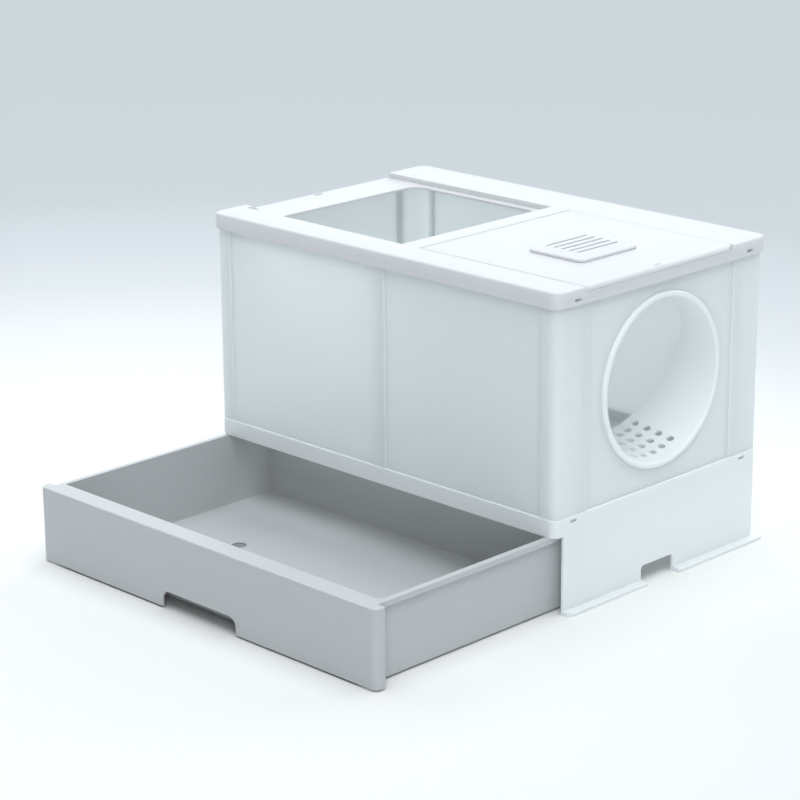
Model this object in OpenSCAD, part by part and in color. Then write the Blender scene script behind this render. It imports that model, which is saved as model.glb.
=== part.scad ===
// Top-entry and side-entry cat litter box with a pull-out drawer.
// Millimetres, +Z up, the drawer opens towards -Y and the round entrance faces +X.
// The origin lies on the floor under the middle of the box and its pulled-out drawer.

/* [Body] */
// Length over the top frame
body_w = 500; // [460:5:560]
// Depth over the top frame
body_d = 328; // [310:2:372]
// Height to the upper face of the top frame
body_h = 334; // [332:2:412]
// Plan corner radius of the top frame
corner_r = 12; // [11:0.5:16]
// Clearance between pieces that clip together
fit_gap = 0.3; // [0.2:0.05:0.35]

/* [Base frame] */
// Height of the base frame
base_h = 101.8; // [98:0.2:105]
// Base face inside the edge of the top frame
base_inset = 2.6; // [2.4:0.1:3]
// Thickness of the base wall
base_t = 2.8; // [2.2:0.1:3.4]
// Height of the base's front rail above the drawer opening
header_h = 18.5; // [18:0.5:28]
// Depth of the channel that takes the walls
channel_depth = 12.3; // [11.5:0.1:13.5]
// Thickness of the channel floor
channel_floor_t = 2; // [1.6:0.1:2.2]
// Thickness of the lips that hold the walls from inside
lip_t = 1.9; // [1.4:0.1:2.4]
// Inner edge of the sloped litter guard, inside the edge of the top frame
guard_inset = 24; // [20:0.5:24]
// Fall of the litter guard
guard_fall = 3; // [1:0.2:3]
// Width of the foot flange outside the base wall
foot_w = 9.5; // [6:0.5:14]
// Thickness of the foot flange
foot_t = 4; // [3:0.2:5]
// Radius of the flange's front corner
foot_end_r = 6; // [4:0.5:8]
// Rounding of the flange's upper edge
foot_round = 2; // [1:0.25:2.5]
// Rounding of the base's upper outer edge
base_round = 1.2; // [0.6:0.1:1.6]
// Width of the finger notch in each end of the base
side_notch_w = 51; // [40:1:80]
// Height of the finger notch in each end of the base
side_notch_h = 19; // [10:0.5:22]
// Centre of the finger notches behind the middle of the box
side_notch_y = -2.5; // [-6:0.5:6]
// Radius of the finger notches' upper corners
side_notch_r = 4; // [2:0.5:6]
// Length of a guide pad beside the drawer
pad_len = 15; // [10:1:20]
// Height of a guide pad
pad_h = 14.7; // [13:0.1:18]
// Thickness of a guide pad
pad_t = 3.8; // [3:0.1:4.6]
// Front guide pads behind the front edges of the base's ends
pad_set = 8; // [4:1:20]

/* [Walls] */
// Thickness of the wall panels
panel_t = 2.6; // [2.2:0.1:2.8]
// Clearance beside a panel in a post's groove
panel_gap = 0.1; // [0.08:0.01:0.15]
// Post face inside the edge of the top frame
post_inset = 3.2; // [3.1:0.1:3.6]
// Thickness of the outer lip of a groove
lap_t = 1.5; // [1.4:0.1:1.8]
// Rounding of that lip's outer edge
lap_round = 1.3; // [0.6:0.1:1.4]
// Thickness of the inner lip of a groove
inner_lap_t = 1.5; // [1.2:0.1:1.8]
// Thickness of the post round the corner
post_t = 3; // [2.4:0.1:3.6]
// Leg of a post along the front, from the edge of the top frame
front_leg = 25; // [21:0.5:25.5]
// Leg of a post along the end, from the edge of the top frame
side_leg = 52; // [46:0.5:56]
// Depth of the groove in a front leg
front_groove = 4; // [3.6:0.1:4.2]
// Depth of the groove in an end leg
side_groove = 8; // [5:0.5:10]
// Solid web behind a groove
web_t = 4; // [3:0.5:5]
// Visible width of the strip that joins two long panels
mullion_w = 20; // [19:1:30]
// Middle of the strip that joins two long panels, to the right of the middle
mullion_x = 1; // [-12:1:4]
// Width of a snap nib on a post
snap_w = 9; // [6:0.5:12]
// Height of a snap nib on a post
snap_h = 2.4; // [2:0.1:3]
// Distance of the snap nibs from the edge of the top frame, along the end
snap_from_edge = 30; // [26:0.5:32]
// Drop of a snap nib from the edge that it clips
snap_drop = 4.2; // [4:0.1:5]
// Tip of a snap nib inside the face that its window opens in
snap_short = 1.1; // [0.2:0.1:1.2]
// Clearance round a snap nib in its window
snap_gap = 0.4; // [0.3:0.05:0.5]

/* [Top frame] */
// Height of the skirt
skirt_h = 17; // [16:0.5:22]
// Thickness of the skirt
skirt_t = 2.6; // [2:0.1:3]
// Thickness of the raised rails' skin
roof_t = 2.5; // [2:0.1:3]
// Thickness of the recessed plate
plate_t = 2.5; // [2:0.1:3]
// Depth of the recess that the lid drops into
recess_depth = 6; // [5.8:0.1:7.5]
// Width of the raised front rail
front_rail_w = 40; // [36:1:50]
// Width of the raised rear rail
rear_rail_w = 58; // [50:1:62]
// Width of the raised cross strip
strip_w = 24; // [24:0.5:30]
// Centre of the cross strip to the right of the middle
strip_x = 13; // [6:1:15]
// Width of the ledge beside an opening
ledge_w = 10; // [8:0.5:16]
// Width of the ledge between the front rail and the entry from above
front_ledge_w = 2; // [1:0.5:10]
// Width of the ledge at the ends of the box
end_ledge_w = 52.5; // [46:0.5:58]
// Corner radius of the openings
opening_r = 15; // [8:1:20]
// Rounding of the frame's upper outer edge
top_round = 2; // [1:0.25:2.5]
// Rounding of the upper edges towards the recess
inner_round = 1; // [0.5:0.25:1.25]
// Overhang of the front rail over the recess at the open end
ear_w = 13; // [8:0.5:16]
// Length of that overhang along the box
ear_len = 14; // [8:1:20]
// Length of the slope from the overhang down to the recess
ear_slope = 14; // [8:0.5:16]
// Middle of the two catches at the foot of the rear rail
catch_x = -127; // [-140:1:-100]
// Distance between those catches
catch_pitch = 76; // [50:1:90]
// Length of a catch
catch_len = 7; // [4:0.5:10]
// Height of a catch
catch_h = 2; // [1:0.1:3]
// Reach of a catch
catch_reach = 1; // [0.6:0.1:1.5]
// Spacing of the ribs that rest on the wall tops
rib_pitch = 40; // [30:1:60]
// Thickness of those ribs
rib_t = 2; // [1.4:0.1:2.4]

/* [Lid and hinge] */
// Clearance between the lid and the rails
lid_gap = 0.4; // [0.3:0.05:0.6]
// Clearance between the lid and the cross strip
lid_hinge_gap = 0.8; // [0.7:0.05:1]
// Lid end inside the edge of the top frame
lid_end_inset = 0.5; // [0.3:0.1:1]
// Thickness of the lid
lid_t = 2.5; // [2:0.1:3]
// Thickness of the lip round the lid
lid_lip_t = 2.2; // [1.8:0.1:2.8]
// Plan radius of the lid's outer corners
lid_corner_r = 8; // [4:0.5:12]
// Rounding of the lid's outer upper edge
lid_end_round = 4; // [2:0.25:4.5]
// Height of the ribs under the lid
lid_rib_h = 2.5; // [2:0.1:2.9]
// Thickness of the ribs under the lid
lid_rib_t = 2; // [1.4:0.1:2.4]
// Distance of the lid's ribs from its middle line
lid_rib_y = 60; // [54:1:70]
// Radius of the lid's hinge edge
barrel_r = 2.8; // [2.6:0.1:2.8]
// Radius of the hinge pins
pin_r = 1.5; // [1.3:0.05:1.6]
// Radial clearance of the hinge pins
pin_gap = 0.05; // [0.03:0.01:0.08]
// Reach of a hinge pin into the rail
pin_reach = 1.5; // [1:0.1:1.8]
// Width of the latch slots
latch_w = 12; // [8:0.5:20]
// Length of the latch slots along the box
latch_len = 3.9; // [3.4:0.1:4.4]
// Outer edge of the latch slots inside the edge of the top frame
latch_inset = 2.6; // [2.6:0.1:3.2]
// Radius of the thumb mark at the lid's outer end
thumb_r = 9; // [6:0.5:14]
// Depth of the thumb mark
thumb_depth = 1.2; // [0.6:0.1:1.6]
// Length of the thumb mark along the box
thumb_len = 6; // [4:0.5:12]

/* [Vent and filter] */
// Length of the vent cover along the box
cover_w = 74; // [72:1:84]
// Width of the vent cover across the box
cover_d = 90; // [88:1:98]
// Centre of the vent cover inside the edge of the top frame
cover_from_end = 98; // [94:0.5:120]
// Centre of the vent cover behind the middle line
cover_y = -15; // [-24:0.5:0]
// Thickness of the vent cover
cover_t = 2.8; // [2:0.1:3.2]
// Plan corner radius of the vent cover
cover_r = 8; // [7:0.5:12]
// Rounding of the vent cover's upper edge
cover_round = 1.4; // [0.6:0.1:1.6]
// Number of air slots
slot_count = 5; // [3:1:5]
// Width of an air slot
slot_w = 3; // [2:0.1:4]
// Length of an air slot
slot_len = 63; // [50:1:63]
// Spacing of the air slots
slot_pitch = 10.4; // [7:0.1:10.4]
// Middle of the air slots from the middle of the cover, along the box
slot_dx = -8; // [-8:0.5:0]
// Middle of the air slots from the middle of the cover, across the box
slot_dy = 7.5; // [0:0.5:7.5]
// Rim of the vent cover outside the filter tray's flange
cover_rim = 0.5; // [0.3:0.1:1]
// Width of the filter tray's flange
tray_flange_w = 1.5; // [1.5:0.1:2]
// Thickness of the filter tray's flange
tray_flange_t = 1.2; // [0.9:0.1:1.4]
// Wall of the filter tray
tray_t = 1.6; // [1.2:0.1:1.8]
// Depth of the filter tray under the lid's upper face
tray_depth = 14; // [12:0.5:20]
// Thickness of the carbon pad
carbon_t = 8; // [6:0.5:8]
// Height of the rim that centres the vent cover
cover_lip_h = 3; // [2:0.1:3.4]
// Thickness of that rim
cover_lip_t = 1.5; // [1:0.1:1.5]
// Gap under the vent cover
cover_gap = 0.5; // [0.1:0.05:0.6]

/* [Entrance] */
// Radius of the tunnel where its flare meets the rounded lip
mouth_r = 85.6; // [76:0.1:86]
// Flare angle of the tunnel
flare = 11.1; // [8:0.1:12]
// Thickness of the tunnel wall
tunnel_t = 2.5; // [2:0.1:3]
// Rounding between the tunnel and the face of its lip
lip_r = 2.5; // [1.5:0.1:3.5]
// Width of the lip outside that rounding
lip_land = 3.9; // [3.5:0.1:4.5]
// Rounding of the lip's outer edge
lip_edge_r = 2.8; // [1.5:0.1:3]
// Lip standing out of the wall panel
lip_proud = 3.5; // [3.2:0.1:4.5]
// Width of the flange behind the wall panel
tunnel_flange_w = 8.4; // [6:0.1:8.4]
// Thickness of that flange
tunnel_flange_t = 2.4; // [1.8:0.1:2.6]
// Reach of the tunnel's lower edge into the box
tunnel_reach = 76; // [70:0.5:90]
// Slant of the tunnel's inner end
tunnel_slant = 20.5; // [10:0.5:24]
// Height of the entrance axis above the middle of the end wall
entrance_rise = 2.8; // [-2:0.1:3]
// Diameter of a litter hole
hole_d = 7.8; // [6:0.2:9.6]
// Litter holes along the tunnel
hole_columns = 4; // [2:1:4]
// Litter holes round the tunnel
hole_rows = 6; // [3:1:7]
// Spacing of the litter holes along the tunnel
hole_pitch = 14.6; // [11:0.1:15]
// Angle between two rows of litter holes
hole_angle = 10.2; // [8:0.2:12]
// First column of litter holes from the face of the lip
hole_start = 18.5; // [17:0.5:20]

/* [Drawer] */
// Distance that the drawer stands pulled out
drawer_open = 250.3; // [0:0.1:256]
// Drawer front standing out of the base's face when closed
front_proud = 0; // [-0.5:0.5:6]
// Length of the drawer front
front_w = 500; // [492:0.5:502]
// Wall of the drawer
drawer_t = 2.4; // [2:0.1:3]
// Clearance between the drawer's rim and the opening above it
drawer_top_gap = 0.3; // [0.3:0.1:2]
// Clearance beside the drawer
drawer_side_gap = 0.5; // [0.3:0.1:1]
// Clearance behind the closed drawer
drawer_rear_gap = 3.2; // [2:0.2:14]
// Width of the rim behind the drawer front
rim_front_w = 22; // [16:0.5:28]
// Width of the rim along the sides
rim_side_w = 6.3; // [5.5:0.1:12]
// Width of the rim along the rear
rim_rear_w = 8; // [6:0.5:14]
// Thickness of the rim
rim_t = 2.4; // [2:0.1:3]
// Height of the lip under the rim's outer edge
rim_lip_h = 6; // [4:0.5:8]
// Thickness of that lip
rim_lip_t = 2; // [1.4:0.1:2.4]
// Rounding of the rim's outer edge
rim_round = 1; // [0.5:0.1:1.6]
// Plan radius of the rim's rear corners
rim_corner_r = 8; // [5:0.5:14]
// Draft angle of the tray
draft = 2; // [1:0.5:5]
// Radius between the tray's floor and walls
floor_r = 1; // [0.5:0.5:6]
// Plan radius of the tray's corners at the rim
tray_corner_r = 4; // [3:0.5:10]
// Height of the skids under the tray
skid_h = 1; // [0.8:0.1:2.5]
// Width of a skid
skid_w = 6; // [4:0.5:10]
// Distance of the outer skids from the middle
skid_x = 180; // [120:5:190]
// Clearance under the drawer front
front_lift = 2.2; // [1:0.1:3]
// Plan radius of the drawer front's corners
front_r = 7.5; // [6:0.5:10]
// Depth of the drawer front's returns
return_d = 12.5; // [11.5:0.5:16]
// Rounding of the drawer front's upper edge
front_round = 1.75; // [0.75:0.25:2.25]
// Width of the finger notch in the drawer front
pull_w = 110; // [80:1:140]
// Height of the finger notch above the floor
pull_h = 19.7; // [14:0.1:30]
// Radius of the finger notch's upper corners
pull_r = 10; // [4:0.5:12]
// Spacing of the ribs behind the drawer front
front_rib_pitch = 75; // [60:1:90]
// Thickness of those ribs
front_rib_t = 2; // [1.4:0.1:2.4]
// Diameter of the round mark in the tray's floor
gate_d = 14; // [8:1:20]
// Depth of that mark
gate_depth = 0.6; // [0.3:0.1:1]
// Mark to the left of the middle
gate_x = -127; // [-180:1:0]
// Mark behind the drawer's front face
gate_y = 166; // [100:1:220]

/* [Hidden] */
$fn = 48;
eps = 0.5;      // overlap of two shapes that grow together
cut = 1;        // cutters reach this far past a face
tall = body_h;  // length of a cutter that runs right through
least_r = 0.2;  // corner radius that is left where an inset is deeper than the corner
slot_end = 0.01; // keeps a straight piece between the rounded ends of an air slot
seat = 0.2;     // clearance of faces that only come close

// Levels
channel_z = base_h - channel_depth;
shelf_z = channel_z - channel_floor_t;
wall_foot = channel_z + fit_gap;
lap_foot = base_h + fit_gap;
skirt_z = body_h - skirt_h;
recess_z = body_h - recess_depth;
plate_z = recess_z - plate_t;
wall_top = plate_z - fit_gap;
inner_lap_top = skirt_z - fit_gap;
bay_h = base_h - header_h;

// Distances inside the edge of the top frame
panel_inset = post_inset + lap_t + panel_gap;
panel_back = panel_inset + panel_t;
lip_in = panel_back + fit_gap;
groove_back = panel_back + panel_gap;

// Top frame, lid and hinge
recess_half = (body_d - front_rail_w - rear_rail_w) / 2;
recess_y = (front_rail_w - rear_rail_w) / 2;
strip_left = strip_x - strip_w / 2;
strip_right = strip_x + strip_w / 2;
lid_x0 = strip_right + lid_hinge_gap;
lid_x1 = body_w / 2 - lid_end_inset;
hinge_x = lid_x0 + barrel_r;
hinge_z = body_h - barrel_r;
cover_x = body_w / 2 - cover_from_end;
lid_d = 2 * (recess_half - lid_gap);
lid_foot = recess_z + fit_gap;
latch_x1 = body_w / 2 - latch_inset;
latch_foot = plate_z + seat;
snap_y = body_d / 2 - snap_from_edge;
tray_out = cover_rim + tray_flange_w;
tray_in = tray_out + tray_t;

// Entrance
wall_x = body_w / 2 - panel_inset;
wall_back_x = body_w / 2 - panel_back;
face_x = wall_x + lip_proud;
lip_ring_r = mouth_r + lip_r / cos(flare);
rim_r = lip_ring_r + lip_land;
entrance_z = (base_h + skirt_z) / 2 + entrance_rise;

// Drawer, placed as when closed and then pulled out
front_y = base_inset - body_d / 2 - front_proud;
bay_y = front_y + return_d + fit_gap + seat;
drawer_top = bay_h - drawer_top_gap;
drawer_half = body_w / 2 - base_inset - base_t - pad_t - drawer_side_gap;
drawer_rear = body_d / 2 - base_inset - base_t - drawer_rear_gap;
tray_front = front_y + rim_front_w;
tray_rear = drawer_rear - rim_rear_w;
tray_half_w = drawer_half - rim_side_w;
tray_half_d = (tray_rear - tray_front) / 2;
tray_y = (tray_rear + tray_front) / 2;
tray_floor_z = skid_h + drawer_t;
front_run = 8 * front_r;
rim_d = drawer_rear - front_y - drawer_t;

// The origin is in the middle of the whole depth, with the drawer out
shift_y = (drawer_open - front_y - body_d / 2) / 2;

module placed() {
    translate([0, shift_y, 0]) children();
}

module up(z) {
    translate([0, 0, z]) children();
}

module at_post(side_x, side_y) {
    mirror([side_x < 0 ? 1 : 0, 0, 0]) mirror([0, side_y < 0 ? 1 : 0, 0]) children();
}

// ---- plan shapes ----

module rounded_rect(w, d, r) {
    square([w - 2 * r, d], center = true);
    square([w, d - 2 * r], center = true);
    for (x = [-1, 1], y = [-1, 1])
        translate([x * (w / 2 - r), y * (d / 2 - r)]) circle(r);
}

// Outline of the top frame, drawn in by an inset
module outline(inset) {
    rounded_rect(body_w - 2 * inset, body_d - 2 * inset, max(corner_r - inset, least_r));
}

// Ring between two insets of that outline
module band(outer, inner) {
    difference() {
        outline(outer);
        outline(inner);
    }
}

// Rectangle from x0 to x1 with radius r0 at x0 and r1 at x1
module lid_rect(x0, x1, d, r0, r1) {
    translate([x0 + r0, -d / 2]) square([x1 - r1 - x0 - r0, d]);
    translate([x0, r0 - d / 2]) square([2 * r0, d - 2 * r0]);
    translate([x1 - 2 * r1, r1 - d / 2]) square([2 * r1, d - 2 * r1]);
    for (y = [-1, 1]) {
        translate([x0 + r0, y * (d / 2 - r0)]) circle(r0);
        translate([x1 - r1, y * (d / 2 - r1)]) circle(r1);
    }
}

// Arch that rises from the floor, with rounded upper corners
module arch(w, h, r) {
    translate([-w / 2, -cut]) square([w, h - r + cut]);
    translate([r - w / 2, -cut]) square([w - 2 * r, h + cut]);
    for (x = [-1, 1]) translate([x * (w / 2 - r), h - r]) circle(r);
}

// What a quarter round of radius f leaves outside it, the edge being at the origin
module round_waste(f) {
    difference() {
        translate([-f, -f]) square(f + cut);
        translate([-f, -f]) circle(f);
    }
}

// Rounds the upper outer edge of a rounded rectangle whose top is at z = 0
module edge_round(w, d, r, f) {
    for (x = [-1, 1], y = [-1, 1])
        mirror([x < 0 ? 1 : 0, 0, 0]) mirror([0, y < 0 ? 1 : 0, 0])
            translate([w / 2 - r, d / 2 - r, 0])
                rotate_extrude(angle = 90) translate([r, 0]) round_waste(f);
    for (side = [0, 1]) {
        mirror([side, 0, 0]) translate([w / 2, 0, 0])
            rotate([90, 0, 0]) linear_extrude(d - 2 * r, center = true) round_waste(f);
        mirror([0, side, 0]) translate([0, d / 2, 0])
            rotate([90, 0, 90]) linear_extrude(w - 2 * r, center = true) round_waste(f);
    }
}

// ---- base frame ----

module litter_guard_bar(half, len) {
    lowest = guard_inset;
    highest = lip_in + lip_t - eps;
    linear_extrude(len, center = true)
        polygon([[half - highest, shelf_z], [half - highest, channel_z],
                 [half - lowest, channel_z - guard_fall], [half - lowest, shelf_z - guard_fall]]);
}

module foot_flange() {
    x1 = body_w / 2 - base_inset + foot_w;
    x0 = body_w / 2 - corner_r;
    y1 = body_d / 2 - base_inset;
    intersection() {
        linear_extrude(foot_t) difference() {
            union() {
                translate([x0, bay_y]) square([x1 - foot_end_r - x0, y1 - bay_y]);
                translate([x0, bay_y + foot_end_r]) square([x1 - x0, y1 - bay_y - foot_end_r]);
                translate([x1 - foot_end_r, bay_y + foot_end_r]) circle(foot_end_r);
            }
            outline(base_inset + base_t / 2);
        }
        rotate([90, 0, 0]) linear_extrude(2 * body_d, center = true) {
            square([x1 - foot_round, foot_t]);
            square([x1, foot_t - foot_round]);
            translate([x1 - foot_round, foot_t - foot_round]) circle(foot_round);
        }
    }
}

module base_frame() {
    inner_lip = lip_in + lip_t;
    color("white") placed() difference() {
        union() {
            linear_extrude(shelf_z + eps) band(base_inset, base_inset + base_t);
            up(shelf_z) linear_extrude(base_h - shelf_z) band(base_inset, panel_inset - fit_gap);
            up(shelf_z) linear_extrude(channel_floor_t) band(base_inset, inner_lip);
            up(shelf_z) linear_extrude(base_h - shelf_z) band(lip_in, inner_lip);
            for (side = [0, 1]) {
                mirror([side, 0, 0]) rotate([90, 0, 0])
                    litter_guard_bar(body_w / 2, body_d - 2 * inner_lip);
                mirror([0, side, 0]) rotate([90, 0, 90])
                    litter_guard_bar(body_d / 2, body_w - 2 * inner_lip);
                mirror([side, 0, 0]) foot_flange();
                mirror([side, 0, 0]) for (y = [bay_y + pad_set, tray_rear - pad_len])
                    translate([drawer_half + drawer_side_gap, y, shelf_z - pad_h])
                        cube([pad_t + eps, pad_len, pad_h + eps]);
            }
        }
        // open front below the front rail
        translate([-body_w, bay_y - body_d, -cut]) cube([2 * body_w, body_d, bay_h + cut]);
        // straight way for the drawer past the round front corners
        translate([-drawer_half - drawer_side_gap, -body_d, -cut])
            cube([2 * (drawer_half + drawer_side_gap), body_d / 2 + corner_r, bay_h + cut]);
        // finger notches at both ends
        translate([0, side_notch_y, 0]) rotate([90, 0, 90])
            linear_extrude(2 * body_w, center = true) arch(side_notch_w, side_notch_h, side_notch_r);
        // windows for the posts' snap nibs
        for (x = [-1, 1], y = [-1, 1])
            translate([x * (body_w / 2 - base_inset), y * snap_y, base_h - snap_drop - snap_h / 2])
                cube([2 * (panel_inset - base_inset), snap_w + 2 * snap_gap, snap_h + 2 * snap_gap],
                     center = true);
        up(base_h) edge_round(body_w - 2 * base_inset, body_d - 2 * base_inset,
                              corner_r - base_inset, base_round);
    }
}

// ---- posts and panels ----

module post_section(inner_lips) {
    leg_x = body_w / 2 - front_leg;
    leg_y = body_d / 2 - side_leg;
    back = inner_lips ? groove_back + inner_lap_t : panel_back;
    difference() {
        union() {
            intersection() {
                band(post_inset, post_inset + post_t);
                translate([leg_x, leg_y]) square([body_w, body_d]);
            }
            intersection() {
                band(post_inset, back);
                union() {
                    translate([leg_x, 0]) square([front_groove + web_t, body_d]);
                    translate([0, leg_y]) square([body_w, side_groove + web_t]);
                }
                translate([leg_x, leg_y]) square([body_w, body_d]);
            }
        }
        translate([leg_x - cut, body_d / 2 - groove_back])
            square([front_groove + cut, groove_back - post_inset - lap_t]);
        translate([body_w / 2 - groove_back, leg_y - cut])
            square([groove_back - post_inset - lap_t, side_groove + cut]);
        translate([leg_x, body_d / 2 - post_inset]) mirror([1, 0]) round_waste(lap_round);
        translate([body_w / 2 - post_inset, leg_y]) mirror([0, 1]) round_waste(lap_round);
    }
}

// Tongue that stands in the base channel, clear of the panels' ends
module post_tongue() {
    intersection() {
        band(panel_inset, panel_back);
        translate([body_w / 2 - front_leg + front_groove, body_d / 2 - side_leg + side_groove])
            square([body_w, body_d]);
    }
}

// Wedge that clips into a window, rising from flush to its full reach
module snap_nib(reach, from_x) {
    rotate([90, 0, 0]) linear_extrude(snap_w, center = true)
        polygon([[from_x - eps, 0], [from_x, 0], [from_x + reach, snap_h],
                 [from_x - eps, snap_h]]);
}

module corner_post(side_x, side_y) {
    color("white") placed() at_post(side_x, side_y) {
        up(wall_foot) linear_extrude(lap_foot - wall_foot + eps) post_tongue();
        up(lap_foot) linear_extrude(inner_lap_top - lap_foot) post_section(true);
        up(inner_lap_top) linear_extrude(wall_top - inner_lap_top) post_section(false);
        translate([0, snap_y, base_h - snap_drop - snap_h])
            snap_nib(panel_inset - base_inset - snap_short, body_w / 2 - panel_inset);
        translate([0, snap_y, skirt_z + snap_drop])
            snap_nib(post_inset - snap_short, body_w / 2 - post_inset);
    }
}

// Flat slab of a long wall, from x0 to x1
module long_slab(x0, x1) {
    translate([x0, panel_inset - body_d / 2, wall_foot])
        cube([x1 - x0, panel_t, wall_top - wall_foot]);
}

// Long panel with the H-shaped strip that holds its neighbour
module long_panel_with_strip() {
    end_x = body_w / 2 - front_leg + front_groove - fit_gap;
    x0 = mullion_x - mullion_w / 2;
    x1 = mullion_x + mullion_w / 2;
    inner_x0 = x1 - 2 * side_groove - web_t;
    front = -body_d / 2;
    long_slab(-end_x, mullion_x);
    up(lap_foot) linear_extrude(wall_top - lap_foot) difference() {
        union() {
            translate([x0, front + post_inset]) square([x1 - x0, lap_t]);
            translate([x0, front + post_inset]) square([mullion_x - x0, lap_t + eps]);
        }
        translate([x1, front + post_inset]) mirror([0, 1]) round_waste(lap_round);
        translate([x0, front + post_inset]) mirror([1, 0]) mirror([0, 1]) round_waste(lap_round);
    }
    translate([inner_x0, front + panel_inset, lap_foot])
        cube([mullion_x - inner_x0, groove_back + inner_lap_t - panel_inset,
              inner_lap_top - lap_foot]);
    translate([mullion_x - eps, front + groove_back, lap_foot])
        cube([x1 - mullion_x + eps, inner_lap_t, inner_lap_top - lap_foot]);
}

module long_panel_plain() {
    long_slab(mullion_x + fit_gap, body_w / 2 - front_leg + front_groove - fit_gap);
}

module front_panel_left() {
    color("whitesmoke") placed() long_panel_with_strip();
}

module front_panel_right() {
    color("whitesmoke") placed() long_panel_plain();
}

module rear_panel_right() {
    color("whitesmoke") placed() rotate([0, 0, 180]) long_panel_with_strip();
}

module rear_panel_left() {
    color("whitesmoke") placed() rotate([0, 0, 180]) long_panel_plain();
}

module end_slab() {
    half = body_d / 2 - side_leg + side_groove - fit_gap;
    translate([wall_back_x, -half, wall_foot]) cube([panel_t, 2 * half, wall_top - wall_foot]);
}

module left_panel() {
    color("whitesmoke") placed() mirror([1, 0, 0]) end_slab();
}

module right_panel() {
    color("whitesmoke") placed() difference() {
        end_slab();
        translate([wall_back_x - cut, 0, entrance_z]) rotate([0, 90, 0])
            cylinder(h = panel_t + 2 * cut, r = rim_r + fit_gap);
    }
}

// ---- entrance ----

// Points along an arc about a centre, from angle a0 to a1
function arc(centre, r, a0, a1, steps) =
    [for (i = [0 : steps]) let (a = a0 + (a1 - a0) * i / steps) centre + r * [cos(a), sin(a)]];

// Inner radius of the flared tunnel at a distance from the lip's face, inward negative
function flared(z) = mouth_r + tan(flare) * (z + lip_r);

// Half section of the tunnel: radius against distance from the lip's face
module tunnel_section() {
    deep = -tunnel_reach - tunnel_t - cut;
    skin = tunnel_t / cos(flare);
    flange_front = wall_back_x - fit_gap - face_x;
    flange_back = flange_front - tunnel_flange_t;
    polygon(concat(
        [[flared(deep), deep]],
        arc([lip_ring_r, -lip_r], lip_r, 180 - flare, 90, 10),
        arc([rim_r - lip_edge_r, -lip_edge_r], lip_edge_r, 90, 0, 8),
        [[rim_r, flange_front], [rim_r + tunnel_flange_w, flange_front],
         [rim_r + tunnel_flange_w, flange_back], [flared(flange_back) + skin, flange_back],
         [flared(deep) + skin, deep]]));
}

module entrance_tunnel() {
    low_r = flared(-tunnel_reach);
    color("white") placed() translate([face_x, 0, entrance_z]) difference() {
        rotate([0, 90, 0]) rotate_extrude() tunnel_section();
        // slanted inner end, longest at the bottom
        translate([-tunnel_reach, 0, -low_r]) rotate([0, tunnel_slant, 0])
            translate([-tall, -tall / 2, -tall / 4]) cube([tall, tall, 2 * tall]);
        // litter holes in the floor of the tunnel
        for (row = [0 : hole_rows - 1], column = [0 : hole_columns - 1])
            rotate([(row - (hole_rows - 1) / 2) * hole_angle, 0, 0])
                translate([-hole_start - column * hole_pitch, 0, -rim_r])
                    cylinder(h = rim_r / 2, d = hole_d);
    }
}

// ---- top frame ----

// Width of the rail on one side of the recess: -1 in front, 1 at the rear
function rail_w(side) = side < 0 ? front_rail_w : rear_rail_w;

module rail_plan(wall) {
    for (side = [-1, 1]) intersection() {
        outline(0);
        translate([0, side * body_d / 2]) square([body_w, 2 * (rail_w(side) - wall)], center = true);
    }
}

// Raised parts of the top frame: the two rails and the cross strip
module raised_plan() {
    rail_plan(0);
    translate([strip_left, recess_y - recess_half - eps]) square([strip_w, 2 * (recess_half + eps)]);
}

// Walls that carry the raised parts above the recessed plate
module riser_plan() {
    for (y = [-recess_half - roof_t, recess_half])
        translate([-body_w / 2 + eps, recess_y + y]) square([body_w - 2 * eps, roof_t]);
    for (x = [strip_left, strip_right - roof_t]) translate([x, recess_y - recess_half - eps])
        square([roof_t, 2 * (recess_half + eps)]);
}

// One opening of the recessed plate
module opening(x0, x1, front_ledge) {
    y0 = recess_y - recess_half + front_ledge;
    y1 = recess_y + recess_half - ledge_w;
    translate([(x0 + x1) / 2, (y0 + y1) / 2, plate_z - cut]) linear_extrude(plate_t + 2 * cut)
        rounded_rect(x1 - x0, y1 - y0, opening_r);
}

module frame_shell() {
    inner_lip = lip_in + lip_t;
    difference() {
        union() {
            up(skirt_z) linear_extrude(recess_z - skirt_z) band(0, skirt_t);
            up(recess_z - eps) linear_extrude(body_h - recess_z + eps) intersection() {
                band(0, skirt_t);
                rail_plan(0);
            }
            up(plate_z) linear_extrude(plate_t) difference() {
                outline(0);
                rail_plan(roof_t);
                translate([strip_left + roof_t, recess_y - recess_half])
                    square([strip_w - 2 * roof_t, 2 * recess_half]);
            }
            up(plate_z) linear_extrude(body_h - plate_z) riser_plan();
            up(body_h - roof_t) linear_extrude(roof_t) raised_plan();
            // ring that holds the walls from inside
            up(skirt_z) linear_extrude(plate_z - skirt_z + eps) band(lip_in, inner_lip);
            up(plate_z) linear_extrude(body_h - roof_t - plate_z + eps) intersection() {
                band(lip_in, inner_lip);
                rail_plan(0);
            }
            // ribs that rest on the wall tops under the rails
            for (y = [-1, 1], x = [rib_pitch / 2 : rib_pitch : body_w / 2 - corner_r], s = [-1, 1])
                translate([s * x - rib_t / 2, y * (body_d / 2 - lip_in / 2) - lip_in / 2, plate_z])
                    cube([rib_t, lip_in, body_h - roof_t - plate_z + eps]);
        }
        opening(-body_w / 2 + end_ledge_w, strip_left - ledge_w, front_ledge_w);
        opening(strip_right + ledge_w, body_w / 2 - end_ledge_w, ledge_w);
        up(body_h) edge_round(body_w, body_d, corner_r, top_round);
    }
}

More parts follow.
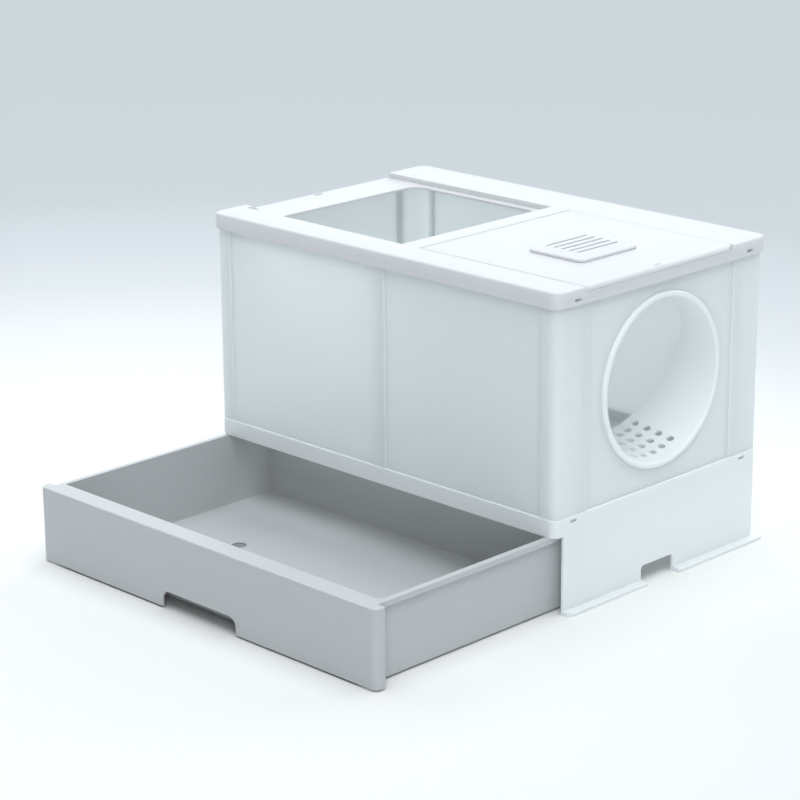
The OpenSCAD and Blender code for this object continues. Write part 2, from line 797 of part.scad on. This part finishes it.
// Rounds the upper edges that face the recess
module recess_edge_rounds() {
    left_len = strip_left + body_w / 2 + cut;
    right_len = body_w / 2 - strip_right + cut;
    translate([0, recess_y, 0]) for (y = [0, 1]) mirror([0, y, 0]) {
        translate([strip_left - left_len, -recess_half, body_h]) rotate([90, 0, 90])
            linear_extrude(left_len) round_waste(inner_round);
        translate([strip_right, -recess_half, body_h]) rotate([90, 0, 90])
            linear_extrude(right_len) round_waste(inner_round);
    }
    translate([strip_right, recess_y, body_h]) rotate([90, 0, 0])
        linear_extrude(2 * recess_half, center = true) round_waste(inner_round);
    translate([strip_left, recess_y, body_h]) rotate([90, 0, 0])
        linear_extrude(2 * recess_half, center = true) mirror([1, 0]) round_waste(inner_round);
}

// Overhang of the front rail at the open end, sloping down to the recess in a soft S
module rail_ear() {
    half_run = ear_slope / 2;
    half_drop = recess_depth / 2;
    r = (half_run * half_run + half_drop * half_drop) / (2 * half_drop);
    flat = ear_w - half_run;
    difference() {
        translate([-body_w / 2, recess_y - recess_half, recess_z]) rotate([90, 0, 90])
            linear_extrude(ear_len) {
                translate([-inner_round - eps, -eps])
                    square([flat + inner_round + eps, recess_depth + eps]);
                translate([-eps, -eps]) square([flat + half_run + eps, half_drop + eps]);
                intersection() {
                    translate([flat, recess_depth - r]) circle(r);
                    translate([flat - eps, 0]) square([half_run + eps, recess_depth]);
                }
                difference() {
                    translate([flat + half_run - eps, -eps]) square([half_run + eps, half_drop + eps]);
                    translate([flat + ear_slope, r]) circle(r);
                }
            }
        up(body_h) edge_round(body_w, body_d, corner_r, top_round);
    }
}

module catches() {
    for (s = [-1, 1])
        translate([catch_x + s * catch_pitch / 2 - catch_len / 2,
                   recess_y + recess_half - catch_reach, recess_z - eps])
            cube([catch_len, catch_reach + eps, catch_h + eps]);
}

// Round bar along the hinge axis
module hinge_bar(len, r) {
    translate([hinge_x, recess_y, hinge_z]) rotate([90, 0, 0]) cylinder(h = len, r = r, center = true);
}

module top_frame() {
    color("white") placed() {
        difference() {
            frame_shell();
            recess_edge_rounds();
            hinge_bar(2 * (recess_half + pin_reach + seat), pin_r + pin_gap);
            for (x = [0, 1]) mirror([x, 0, 0])
                translate([latch_x1 - latch_len, recess_y - latch_w / 2, plate_z - cut])
                    cube([latch_len, latch_w, plate_t + 2 * cut]);
            for (x = [-1, 1], y = [-1, 1])
                translate([x * body_w / 2, y * snap_y, skirt_z + snap_drop + snap_h / 2])
                    cube([2 * (skirt_t + eps), snap_w + 2 * snap_gap, snap_h + 2 * snap_gap],
                         center = true);
        }
        rail_ear();
        catches();
    }
}

// ---- lid ----

module lid_plan(inset) {
    translate([0, recess_y])
        lid_rect(lid_x0 + inset, lid_x1 - inset, lid_d - 2 * inset, lid_lip_t + seat - inset,
                 lid_corner_r - inset);
}

module lid_shell() {
    difference() {
        intersection() {
            up(lid_foot) linear_extrude(body_h - lid_foot) lid_plan(0);
            rotate([90, 0, 0]) linear_extrude(2 * body_d, center = true) {
                translate([hinge_x, 0]) {
                    square([lid_x1 - lid_end_round - hinge_x, body_h]);
                    square([lid_x1 - hinge_x, body_h - lid_end_round]);
                }
                translate([hinge_x, hinge_z]) circle(barrel_r);
                translate([lid_x1 - lid_end_round, body_h - lid_end_round]) circle(lid_end_round);
            }
        }
        up(lid_foot - cut) linear_extrude(body_h - lid_t - lid_foot + cut) difference() {
            lid_plan(lid_lip_t);
            translate([0, -body_d / 2]) square([hinge_x + barrel_r, body_d]);
        }
    }
}

module lid_ribs() {
    for (y = [-1, 1])
        translate([hinge_x, recess_y + y * lid_rib_y - lid_rib_t / 2, body_h - lid_t - lid_rib_h])
            cube([lid_x1 - lid_lip_t / 2 - hinge_x, lid_rib_t, lid_rib_h + eps]);
}

module latch() {
    translate([latch_x1 - latch_len + fit_gap, recess_y + fit_gap - latch_w / 2, latch_foot])
        cube([latch_len - 2 * fit_gap, latch_w - 2 * fit_gap, body_h - lid_t - latch_foot + eps]);
}

// Air slots, centred on the vent cover
module slots(z0, z1) {
    for (i = [0 : slot_count - 1])
        translate([cover_x + slot_dx + (i - (slot_count - 1) / 2) * slot_pitch, cover_y + slot_dy, z0])
            linear_extrude(z1 - z0) rounded_rect(slot_w, slot_len, slot_w / 2 - slot_end);
}

module cover_plan(inset) {
    translate([cover_x, cover_y]) rounded_rect(cover_w - 2 * inset, cover_d - 2 * inset, cover_r - inset);
}

module lid() {
    color("white") placed() difference() {
        union() {
            lid_shell();
            lid_ribs();
            hinge_bar(lid_d + 2 * (lid_gap + pin_reach), pin_r);
            latch();
        }
        // seat of the filter tray
        up(body_h - lid_t - cut) linear_extrude(lid_t + 2 * cut) cover_plan(tray_out - fit_gap);
        up(body_h - tray_flange_t) linear_extrude(tray_flange_t + cut) cover_plan(cover_rim - fit_gap);
        // thumb mark
        translate([lid_x1, recess_y, body_h + thumb_r - thumb_depth]) rotate([0, 90, 0])
            cylinder(h = 2 * thumb_len, r = thumb_r, center = true);
    }
}

module vent_cover() {
    foot = body_h + cover_gap;
    color("white") placed() difference() {
        union() {
            difference() {
                up(foot) linear_extrude(cover_t) cover_plan(0);
                translate([cover_x, cover_y, foot + cover_t])
                    edge_round(cover_w, cover_d, cover_r, cover_round);
            }
            up(foot - cover_lip_h) linear_extrude(cover_lip_h + eps) difference() {
                cover_plan(tray_in + fit_gap);
                cover_plan(tray_in + fit_gap + cover_lip_t);
            }
        }
        slots(foot - cut, foot + cover_t + cut);
    }
}

module filter_tray() {
    foot = body_h - tray_depth;
    color("white") placed() difference() {
        union() {
            up(foot) linear_extrude(tray_depth) cover_plan(tray_out);
            up(body_h - tray_flange_t) linear_extrude(tray_flange_t) cover_plan(cover_rim);
        }
        up(foot + tray_t) linear_extrude(tray_depth) cover_plan(tray_in);
        slots(foot - cut, foot + tray_t + cut);
    }
}

module carbon_pad() {
    color("dimgray") placed() up(body_h - tray_depth + tray_t + fit_gap)
        linear_extrude(carbon_t) cover_plan(tray_in + fit_gap);
}

// ---- drawer ----

// Section of the tray: walls that lean out by the draft, and a rounded foot
module drafted(half, z0, r, top) {
    lean = tan(draft);
    foot = half - (drawer_top - z0) * lean;
    centre = foot + r * lean - r / cos(draft);
    touch = [centre + r * cos(draft), z0 + r - r * sin(draft)];
    top_half = half + (top - drawer_top) * lean;
    polygon([[-top_half, top], [top_half, top], touch, [centre, z0], [-centre, z0],
             [-touch[0], touch[1]]]);
    for (x = [-1, 1]) translate([x * centre, z0 + r]) circle(r);
}

module tray_form(wall, top) {
    grow = wall / cos(draft);
    half_w = tray_half_w + grow;
    half_d = tray_half_d + grow;
    intersection() {
        translate([0, tray_y, 0]) rotate([90, 0, 0]) linear_extrude(body_d, center = true)
            drafted(half_w, tray_floor_z - wall, floor_r + wall, top);
        translate([0, tray_y, 0]) rotate([90, 0, 90]) linear_extrude(body_w, center = true)
            drafted(half_d, tray_floor_z - wall, floor_r + wall, top);
        translate([0, tray_y, 0]) linear_extrude(tall)
            rounded_rect(2 * (half_w + eps), 2 * (half_d + eps), tray_corner_r + wall);
    }
}

// Plan of the drawer front, far deeper than its returns
module front_plan(inset) {
    translate([0, front_y + front_run / 2])
        rounded_rect(front_w - 2 * inset, front_run - 2 * inset, front_r - inset);
}

// Rim of the tray behind the drawer front
module rim_plan(inset) {
    start = front_y + drawer_t;
    translate([0, (drawer_rear + start) / 2])
        rounded_rect(2 * (drawer_half - inset), drawer_rear - start - 2 * inset,
                     rim_corner_r - inset);
}

module drawer_front() {
    intersection() {
        difference() {
            union() {
                up(front_lift) linear_extrude(drawer_top - front_lift) difference() {
                    front_plan(0);
                    front_plan(drawer_t);
                }
                up(drawer_top - rim_t) linear_extrude(rim_t) front_plan(0);
            }
            translate([0, front_y + front_run / 2, drawer_top])
                edge_round(front_w, front_run, front_r, front_round);
            rotate([90, 0, 0]) linear_extrude(2 * body_d, center = true) arch(pull_w, pull_h, pull_r);
        }
        translate([-body_w, front_y - cut, 0]) cube([2 * body_w, return_d + cut, body_h]);
    }
}

module drawer() {
    lip_z = drawer_top - rim_lip_h;
    color("silver") placed() translate([0, -drawer_open, 0]) {
        difference() {
            union() {
                drawer_front();
                difference() {
                    up(drawer_top - rim_t) linear_extrude(rim_t) rim_plan(0);
                    translate([0, drawer_rear - rim_d / 2, drawer_top])
                        edge_round(2 * drawer_half, rim_d, rim_corner_r, rim_round);
                }
                up(lip_z) linear_extrude(rim_lip_h - eps) intersection() {
                    difference() {
                        rim_plan(0);
                        rim_plan(rim_lip_t);
                    }
                    translate([-body_w, front_y + return_d - eps]) square([2 * body_w, body_d]);
                }
                tray_form(drawer_t, drawer_top - rim_t / 2);
                // ribs between the drawer front and the tray
                for (i = [1 : floor(tray_half_w / front_rib_pitch)], s = [-1, 1])
                    translate([s * i * front_rib_pitch - front_rib_t / 2,
                               front_y + drawer_t - eps, tray_floor_z])
                        cube([front_rib_t, rim_front_w + floor_r,
                              drawer_top - rim_t / 2 - tray_floor_z]);
                // skids
                for (x = [-1, 0, 1]) translate([x * skid_x - skid_w / 2, tray_front + 2 * floor_r, 0])
                    cube([skid_w, 2 * tray_half_d - 4 * floor_r, skid_h + eps]);
            }
            tray_form(0, drawer_top + cut);
            translate([gate_x, front_y + gate_y, tray_floor_z - gate_depth])
                cylinder(h = gate_depth + cut, d = gate_d);
        }
    }
}

base_frame();
corner_post(-1, -1);  // corner_post_front_left
corner_post(1, -1);  // corner_post_front_right
corner_post(-1, 1);  // corner_post_rear_left
corner_post(1, 1);  // corner_post_rear_right
front_panel_left();
front_panel_right();
rear_panel_left();
rear_panel_right();
left_panel();
right_panel();
entrance_tunnel();
top_frame();
lid();
vent_cover();
filter_tray();
carbon_pad();
drawer();
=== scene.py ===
# %% [markdown]
# # A drawer litter box in a bright studio
# The box is a set of moulded plastic shells that clip together: a skirt that stands on the floor,
# four posts, six wall panels, a round entrance tunnel, a ring of rails with a lid on top, and a
# grey drawer that slides under it all. The construction model already holds every shell at its
# real size. This notebook gives the shells their surfaces, makes the one soft piece, and sets up
# the floor, the light and the camera.

# %% Load the construction model
import math

import bpy
import numpy as np
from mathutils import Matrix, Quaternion, Vector


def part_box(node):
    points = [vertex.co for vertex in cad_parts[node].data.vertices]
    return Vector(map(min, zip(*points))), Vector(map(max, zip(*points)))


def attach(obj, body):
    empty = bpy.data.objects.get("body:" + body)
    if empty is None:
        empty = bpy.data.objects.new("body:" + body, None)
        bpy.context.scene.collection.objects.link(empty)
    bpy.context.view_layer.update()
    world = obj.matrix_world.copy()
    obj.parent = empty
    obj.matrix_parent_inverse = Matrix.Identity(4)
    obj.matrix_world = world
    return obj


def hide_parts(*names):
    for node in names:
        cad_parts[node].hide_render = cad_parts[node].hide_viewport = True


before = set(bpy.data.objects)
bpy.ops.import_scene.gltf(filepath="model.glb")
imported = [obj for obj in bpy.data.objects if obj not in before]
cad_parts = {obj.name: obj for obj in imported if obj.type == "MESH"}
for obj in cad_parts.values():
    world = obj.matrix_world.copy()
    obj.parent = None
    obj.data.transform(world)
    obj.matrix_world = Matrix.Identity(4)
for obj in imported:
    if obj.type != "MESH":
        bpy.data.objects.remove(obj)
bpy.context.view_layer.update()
MM = 0.001              # metres in a millimetre

# %% [markdown]
# The camera comes first, because every choice after it is judged through it. It is a long lens a
# few steps away, so the box shows little perspective. A camera is easiest to place from the point
# it looks at: an azimuth round the box, an elevation above the floor, and a distance.

# %% Camera
CAMERA_TARGET = Vector((0.0, -3.85 * MM, 166.5 * MM))
CAMERA_AZIMUTH = math.radians(44.99)
CAMERA_ELEVATION = math.radians(17.41)
CAMERA_ROLL = math.radians(-0.43)       # the horizon tips by less than half a degree
CAMERA_DISTANCE = 2.7126
CAMERA_LENS = 116.8


def direction(azimuth, elevation):
    """Unit vector from the target to a viewer: azimuth 0 stands at -Y and turns towards +X."""
    flat = math.cos(elevation)
    return Vector((math.sin(azimuth) * flat, -math.cos(azimuth) * flat, math.sin(elevation)))


def add_camera():
    camera = bpy.data.objects.new("camera", bpy.data.cameras.new("camera"))
    camera.data.lens = CAMERA_LENS
    back = direction(CAMERA_AZIMUTH, CAMERA_ELEVATION)
    camera.location = CAMERA_TARGET + back * CAMERA_DISTANCE
    camera.rotation_mode = "QUATERNION"
    level = (-back).to_track_quat("-Z", "Y")
    camera.rotation_quaternion = level @ Quaternion((0, 0, 1), CAMERA_ROLL)
    bpy.context.scene.collection.objects.link(camera)
    bpy.context.scene.camera = camera
    return camera


camera = add_camera()
print("the camera stands at", [round(x, 3) for x in camera.location])

# %% [markdown]
# Materials are node trees. Two small helpers keep them readable: one turns a colour as a designer
# writes it, an sRGB hex value, into the linear numbers that light is computed with, and one adds a
# node together with its settings and the links into it.

# %% Helpers for materials


def linear(hex_colour):
    """sRGB hex to linear RGBA, with 1 for the alpha.

    A channel c up to 0.04045 becomes c / 12.92, and above that ((c + 0.055) / 1.055) ** 2.4.
    """
    srgb = np.array([int(hex_colour[i:i + 2], 16) for i in (1, 3, 5)]) / 255
    low, high = srgb / 12.92, ((srgb + 0.055) / 1.055) ** 2.4
    return (*np.where(srgb <= 0.04045, low, high), 1.0)


def add(tree, kind, settings=None, links=None):
    """Adds a node. settings names its inputs or its own properties, links gives sources of inputs.

    A socket is named by its label or, where several share one label, by its number.
    """
    node = tree.nodes.new(kind)
    for name, value in (settings or {}).items():
        if isinstance(name, int) or name in node.inputs:
            node.inputs[name].default_value = value
        else:
            setattr(node, name, value)
    for name, source in (links or {}).items():
        tree.links.new(source, node.inputs[name])
    return node


# A colour mix has its sockets at these numbers, because its labels are shared with other kinds.
MIX_A, MIX_B, MIX_RESULT = 6, 7, 2


def new_material(name):
    """A material with only its output node, and the Object coordinates that patterns start from."""
    material = bpy.data.materials.new(name)
    material.use_nodes = True
    tree = material.node_tree
    tree.nodes.clear()
    output = add(tree, "ShaderNodeOutputMaterial")
    place = add(tree, "ShaderNodeTexCoord").outputs["Object"]
    return material, tree, output, place


# %% [markdown]
# Moulded polypropylene is the plastic of storage boxes: a little waxy, satin, never quite flat. The
# steel mould is spark eroded, which leaves a fine even grain, and the thin walls shrink as they
# cool, so that large faces wander by a few hundredths of a millimetre and their sheen drifts. A
# picture of that surface could be laid over each piece, but two noises say the same at any size: a
# fine one as the grain, and a broad one as the waves, which also moves the roughness and the tone.
#
# White polypropylene is also translucent, like a milk bottle: the closed box glows inside, because
# daylight comes through its thin walls. Subsurface scattering could do that, but it dies away
# inside a wall and never reaches the other side of a hollow shell. So a fixed share of the light
# goes through a translucent shader, which passes it on to the air behind. Thin walls get a larger
# share than the stiffer base, and the dense grey of the drawer gets none.

# %% Moulded polypropylene
GRAIN_MM = 0.9              # the real grain is near 0.1 mm, drawn coarse enough to show
GRAIN_HEIGHT_MM = 0.012     # as deep as the real grain
SHEEN_DRIFT = 0.05          # how far the roughness wanders either way
WAVE_MM = 140.0             # spacing of the shrinkage waves on a large face
WAVE_HEIGHT_MM = 0.35       # a few hundredths in truth, drawn deeper so that the sheen shows it
POLYPROPYLENE_IOR = 1.49
EDGE_MM = 0.6               # mould edges are broken by about this radius
GATE_MM = 8.5               # radius of the dull disc round the point where the plastic came in
GATE_FADE = 0.93            # the share of that radius inside which the disc is fully dull
GATE_HEX = "#83888A"        # a chilled, dulled grey


def polypropylene(name, light_hex, dark_hex, roughness, glow=0.0, gate=None):
    """Satin moulded polypropylene between two close tones.

    glow is the share of the light that is let through, and gate the point, if any, where the melt
    entered the mould and left a dull disc.
    """
    material, tree, output, place = new_material(name)
    drift = add(tree, "ShaderNodeTexNoise", {"Scale": 1 / (WAVE_MM * MM), "Detail": 2.0},
                {"Vector": place})
    grain = add(tree, "ShaderNodeTexNoise", {"Scale": 1 / (GRAIN_MM * MM), "Detail": 1.0},
                {"Vector": place})
    tone = add(tree, "ShaderNodeMix",
               {"data_type": "RGBA", MIX_A: linear(light_hex), MIX_B: linear(dark_hex)},
               {"Factor": drift.outputs["Fac"]}).outputs[MIX_RESULT]
    if gate:
        away = add(tree, "ShaderNodeVectorMath", {"operation": "DISTANCE", 1: gate},
                   {"Vector": place})
        blush = add(tree, "ShaderNodeMapRange",
                    {"From Min": GATE_MM * MM, "From Max": GATE_FADE * GATE_MM * MM},
                    {"Value": away.outputs["Value"]})
        tone = add(tree, "ShaderNodeMix", {"data_type": "RGBA", MIX_B: linear(GATE_HEX)},
                   {"Factor": blush.outputs["Result"], MIX_A: tone}).outputs[MIX_RESULT]
    sheen_drift = add(tree, "ShaderNodeMapRange",
                      {"To Min": roughness - SHEEN_DRIFT, "To Max": roughness + SHEEN_DRIFT},
                      {"Value": drift.outputs["Fac"]})
    edge = add(tree, "ShaderNodeBevel", {"samples": 4, "Radius": EDGE_MM * MM})
    waves = add(tree, "ShaderNodeBump", {"Strength": 1.0, "Distance": WAVE_HEIGHT_MM * MM},
                {"Height": drift.outputs["Fac"], "Normal": edge.outputs["Normal"]})
    bumps = add(tree, "ShaderNodeBump", {"Strength": 1.0, "Distance": GRAIN_HEIGHT_MM * MM},
                {"Height": grain.outputs["Fac"], "Normal": waves.outputs["Normal"]})
    shader = add(tree, "ShaderNodeBsdfPrincipled", {"IOR": POLYPROPYLENE_IOR},
                 {"Base Color": tone, "Roughness": sheen_drift.outputs["Result"],
                  "Normal": bumps.outputs["Normal"]})
    through = add(tree, "ShaderNodeBsdfTranslucent", links={"Color": tone})
    mixed = add(tree, "ShaderNodeMixShader", {0: glow},
                {1: shader.outputs["BSDF"], 2: through.outputs["BSDF"]})
    tree.links.new(mixed.outputs["Shader"], output.inputs["Surface"])
    return material


# Near white, stiff and a little thicker, painted brighter as light for these low, shaded pieces.
white_base_painted_brighter = polypropylene("white_polypropylene_base_painted_brighter", "#FBFDFD", "#F8FBFB", 0.34, glow=0.24)
# The ring of rails, lid and vent lie flat under the lamps, in a white painted darker as shade.
white_frame_painted_darker = polypropylene("white_polypropylene_frame_painted_darker", "#EEEDED", "#EBEAEA", 0.34, glow=0.3)
# Thin walls and posts: smooth, and they let almost half of the light into the cabin.
white_panel = polypropylene("white_polypropylene_panel", "#F7F9F9", "#F4F7F7", 0.32, glow=0.48)
# A dense neutral grey with a dull spot, the gate, where the plastic entered the drawer's mould.
grey_shell = polypropylene("grey_polypropylene", "#BEBFBF", "#BABBBB", 0.40,
                           gate=(-127.5 * MM, -120.5 * MM, 3.0 * MM))
print("plastics:", white_base_painted_brighter.name, white_frame_painted_darker.name, white_panel.name, grey_shell.name)

# %% [markdown]
# On the real box each shell is one moulding of one plastic, with no paint and no labels. The shells
# could be modelled again as fine meshes, but the construction model already has their ribs, holes
# and draft, so they stay as they are and only trade their plain material for a plastic. The one
# white comes in three close tones that are painted light and shade: brighter on the low base pieces
# and darker on the rails and lid on top, where the lamps fall strongest.

# %% Dress the moulded shells
THIN_WALLS = [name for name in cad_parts
              if "_panel" in name or name.startswith("corner_post")]
BASE_PIECES = ("base_frame", "entrance_tunnel", "filter_tray")


def dress(node_name, material):
    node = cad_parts[node_name]
    node.data.materials.clear()
    node.data.materials.append(material)


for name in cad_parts:
    dress(name, white_frame_painted_darker)
for name in BASE_PIECES:
    dress(name, white_base_painted_brighter)
for name in THIN_WALLS:
    dress(name, white_panel)
dress("drawer", grey_shell)
print(len(THIN_WALLS), "thin walls and", len(BASE_PIECES), "base pieces dressed")

# %% [markdown]
# Under the slots of the vent lies a carbon pad: a slab of black felt, sealed round the edge and
# quilted by crossing weld lines. It could be a box with a bump map, but the slots show its pillowed
# top. So it is a surface on polar coordinates: rings from the middle to a rounded-rectangle rim,
# thick in the middle of each quilt cell and pinched at the welds.

# %% Helper for new surfaces


def grid_mesh(name, rows):
    """Mesh from an array of points (row, column, xyz).

    Each quad joins a point to the row after it, and both to the next column. The last column is
    joined to the first, so every row is a closed ring. With columns that run anticlockwise seen
    from above, faces point up where the rings widen from row to row, and down where they narrow.
    """
    row_count, column_count, _ = rows.shape
    here = np.arange(row_count * column_count).reshape(row_count, column_count)
    after = np.roll(here, -1, axis=1)
    quads = np.stack([here[:-1], here[1:], after[1:], after[:-1]], axis=-1).reshape(-1, 4)
    mesh = bpy.data.meshes.new(name)
    mesh.from_pydata(rows.reshape(-1, 3), [], quads)
    mesh.validate()
    piece = bpy.data.objects.new(name, mesh)
    bpy.context.scene.collection.objects.link(piece)
    return piece


# %% Carbon pad
PAD_CELL_MM = 13.5     # spacing of the weld lines
PAD_RIM_MM = 1.2       # thickness of the sealed rim
PAD_PINCH = 0.45       # how far a weld pinches the pad, as a share of its thickness
PAD_SQUARENESS = 8     # the power of the superellipse: 2 is an ellipse, more is squarer
WELD_SOFTNESS = 0.4    # a lower power gives narrower welds between fuller cushions
CROWN_POWER = 10       # a higher power keeps the pad full until closer to its rim
PAD_RINGS, PAD_SPOKES = 40, 160
POLE_MERGE_MM = 0.01   # the points of a ring without width are merged into one


def carbon_pad():
    """Rings from the middle to the rim of a superellipse, once for the top and once for the bottom.

    The rim is |x / a| ** 8 + |y / b| ** 8 = 1, and ring r in 0..1 is the rim shrunk to r. The half
    thickness is that of the rim plus the rest times a crown, sqrt(1 - r ** 10), times a quilt,
    which is 1 in the middle of a cell and 1 - PAD_PINCH on a weld line.
    """
    low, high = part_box("carbon_pad")
    centre, half = (low + high) / 2, (high - low) / 2
    ring = np.sin(np.linspace(0, math.pi / 2, PAD_RINGS))
    angle = np.linspace(0, 2 * math.pi, PAD_SPOKES, endpoint=False)
    across, along = np.cos(angle), np.sin(angle)
    power = 2 / PAD_SQUARENESS
    x = np.outer(ring, np.sign(across) * np.abs(across) ** power) * half.x
    y = np.outer(ring, np.sign(along) * np.abs(along) ** power) * half.y
    cell = math.pi / (PAD_CELL_MM * MM)
    welds = np.abs(np.sin(cell * x) * np.sin(cell * y))
    quilt = 1 - PAD_PINCH * (1 - welds ** WELD_SOFTNESS)
    crown = (1 - ring[:, None] ** CROWN_POWER) ** 0.5
    rim = PAD_RIM_MM * MM / 2
    thick = rim + (half.z - rim) * crown * quilt
    top = np.stack([x, y, thick], axis=-1)
    bottom = np.stack([x, y, -thick], axis=-1)[::-1]
    pad = grid_mesh("carbon_pad_felt", np.concatenate([top, bottom]) + np.array(centre))
    weld = pad.modifiers.new("close_poles", "WELD")
    weld.merge_threshold = POLE_MERGE_MM * MM
    pad.data.polygons.foreach_set("use_smooth", np.ones(len(pad.data.polygons), bool))
    return pad


pad = carbon_pad()
print("pad:", len(pad.data.polygons), "faces")

# %% [markdown]
# The felt is a mat of carbon fibres, needled until they hold together. Hair could stand for the
# fibres, but under the slots they only show as a dull, slightly mottled black. So one fine noise
# does both jobs: it mixes two blacks, and it lifts the surface where the lighter one lies.

# %% Carbon felt
FIBRE_MM = 0.3         # spacing of the fibres: finer ones are drawn this coarse, so that they show
FLUFF_MM = 0.2         # how far the fibres stand up


def carbon_felt(name):
    """Needled activated carbon felt: matt black that drinks light, with a grey fluff of fibres."""
    material, tree, output, place = new_material(name)
    fibres = add(tree, "ShaderNodeTexNoise", {"Scale": 1 / (FIBRE_MM * MM), "Detail": 4.0},
                 {"Vector": place})
    tone = add(tree, "ShaderNodeMix",
               {"data_type": "RGBA", MIX_A: linear("#1C1D1F"), MIX_B: linear("#3A3B3D")},
               {"Factor": fibres.outputs["Fac"]})
    bumps = add(tree, "ShaderNodeBump", {"Strength": 0.6, "Distance": FLUFF_MM * MM},
                {"Height": fibres.outputs["Fac"]})
    shader = add(tree, "ShaderNodeBsdfPrincipled", {"Roughness": 0.95, "Sheen Weight": 0.3},
                 {"Base Color": tone.outputs[MIX_RESULT], "Normal": bumps.outputs["Normal"]})
    tree.links.new(shader.outputs["BSDF"], output.inputs["Surface"])
    return material


pad.data.materials.append(carbon_felt("carbon_felt"))
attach(pad, "lid")
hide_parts("carbon_pad")
print("the pad rides on the lid and stands for the plain slab in its tray")

# %% [markdown]
# The studio is a pale floor that runs on as far as the lens sees. Near the box it is white, and it
# cools to a blue grey further off, as a paper sweep does where less light reaches it. Those tones
# are for the lens and for reflections only. Light on its way to the box meets an even white paper,
# so that the box is lit the same whatever tone its background has.

# %% Floor
FLOOR_RADIUS = 60.0                      # metres: past this the horizon would show
FLOOR_RINGS, FLOOR_SPOKES = 24, 64
SWEEP_CENTRE = (-0.21, -0.21, 0.0)       # the brightest spot lies a little to the left of the box
SWEEP_REACH = 3.0                        # metres over which the tones below are spread
# How far out, as a share of that reach, and the tone there.
SWEEP_TONES = ((0.20, "#E4E2DF"), (0.30, "#DBDBDA"), (0.37, "#CED0CF"), (0.43, "#C8CACC"),
               (0.56, "#BABEBF"), (1.00, "#B7BBBC"))
PAPER_HEX = "#E4E7E8"                    # the tone with which the paper lights the box


def add_floor():
    """Rings of a flat disc, closer together near the middle: radius = reach * t ** 3."""
    ring = FLOOR_RADIUS * np.linspace(0, 1, FLOOR_RINGS) ** 3
    angle = np.linspace(0, 2 * math.pi, FLOOR_SPOKES, endpoint=False)
    x, y = np.outer(ring, np.cos(angle)), np.outer(ring, np.sin(angle))
    floor = grid_mesh("floor", np.stack([x, y, np.zeros_like(x)], axis=-1))
    return floor


def background_rays(tree):
    """1 on rays of the lens, of gloss and of glass, 0 on diffuse light on its way to the box."""
    path = add(tree, "ShaderNodeLightPath")
    seen = add(tree, "ShaderNodeMath", {"operation": "ADD"},
               {0: path.outputs["Is Camera Ray"], 1: path.outputs["Is Glossy Ray"]})
    shown = add(tree, "ShaderNodeMath", {"operation": "ADD", "use_clamp": True},
                {0: seen.outputs["Value"], 1: path.outputs["Is Transmission Ray"]})
    return shown.outputs["Value"]


def floor_paint(name):
    """Matt paper: its tone follows the distance from the brightest spot of the sweep."""
    material, tree, output, place = new_material(name)
    away = add(tree, "ShaderNodeVectorMath", {"operation": "DISTANCE", 1: SWEEP_CENTRE},
               {"Vector": place})
    share = add(tree, "ShaderNodeMath", {"operation": "DIVIDE", 1: SWEEP_REACH},
                {0: away.outputs["Value"]})
    tone = add(tree, "ShaderNodeValToRGB", links={"Fac": share.outputs["Value"]})
    stops = tone.color_ramp.elements
    while len(stops) < len(SWEEP_TONES):
        stops.new(1.0)
    for stop, (position, hex_colour) in zip(stops, SWEEP_TONES):
        stop.position = position
        stop.color = linear(hex_colour)
    paper = add(tree, "ShaderNodeMix", {"data_type": "RGBA", MIX_A: linear(PAPER_HEX)},
                {"Factor": background_rays(tree), MIX_B: tone.outputs["Color"]})
    shader = add(tree, "ShaderNodeBsdfDiffuse", links={"Color": paper.outputs[MIX_RESULT]})
    tree.links.new(shader.outputs["BSDF"], output.inputs["Surface"])
    return material


floor = add_floor()
floor.data.materials.append(floor_paint("paper_floor"))
print("floor:", FLOOR_RADIUS, "metres of paper in", len(SWEEP_TONES), "tones")

# %% [markdown]
# The lamps are suns, which have a direction and a width but no place, so the light is as plain on
# every side of the box. A wide one overhead makes the tops the brightest faces. Two from the lens
# side share the front: a high one that reaches the floor of the drawer, and a low one that lights
# only the outside. Three from the left and from behind shine through the thin walls and fill the
# cabin. The world is dark for diffuse light and pale in reflections.

# %% Light
LAMP_HEX = "#F3FAFF"                     # a cool daylight lamp
REFLECTED_HEX = "#E4ECF1"                # what the satin surfaces mirror above the horizon
# A lamp's name, strength, width of its disc in degrees, azimuth and elevation.
LAMPS = (("overhead", 2.65, 60, 85, 82), ("lens_side_high", 0.8, 30, 45, 48),
         ("lens_side_low", 0.57, 30, 45, 10), ("left", 0.75, 60, 270, 30),
         ("rear", 1.3, 60, 180, 20), ("behind_left", 0.65, 70, 225, 30))


def add_sun(name, strength, spread, azimuth, elevation):
    """A lamp without a place: only its direction and the width of its disc matter."""
    lamp = bpy.data.objects.new(name, bpy.data.lights.new(name, "SUN"))
    lamp.data.energy = strength
    lamp.data.angle = math.radians(spread)
    lamp.data.color = linear(LAMP_HEX)[:3]
    lamp.rotation_mode = "QUATERNION"
    towards = direction(math.radians(azimuth), math.radians(elevation))
    lamp.rotation_quaternion = towards.to_track_quat("Z", "Y")
    bpy.context.scene.collection.objects.link(lamp)


def add_world():
    """Dark for light on its way to the box, and a pale even sky for the lens and for gloss."""
    world = bpy.data.worlds.new("studio")
    world.use_nodes = True
    tree = world.node_tree
    background = tree.nodes["Background"]
    background.inputs["Color"].default_value = linear(REFLECTED_HEX)
    tree.links.new(background_rays(tree), background.inputs["Strength"])
    bpy.context.scene.world = world


for lamp in LAMPS:
    add_sun(*lamp)
add_world()
bpy.context.scene.view_settings.view_transform = "Standard"
print(len(LAMPS), "lamps")
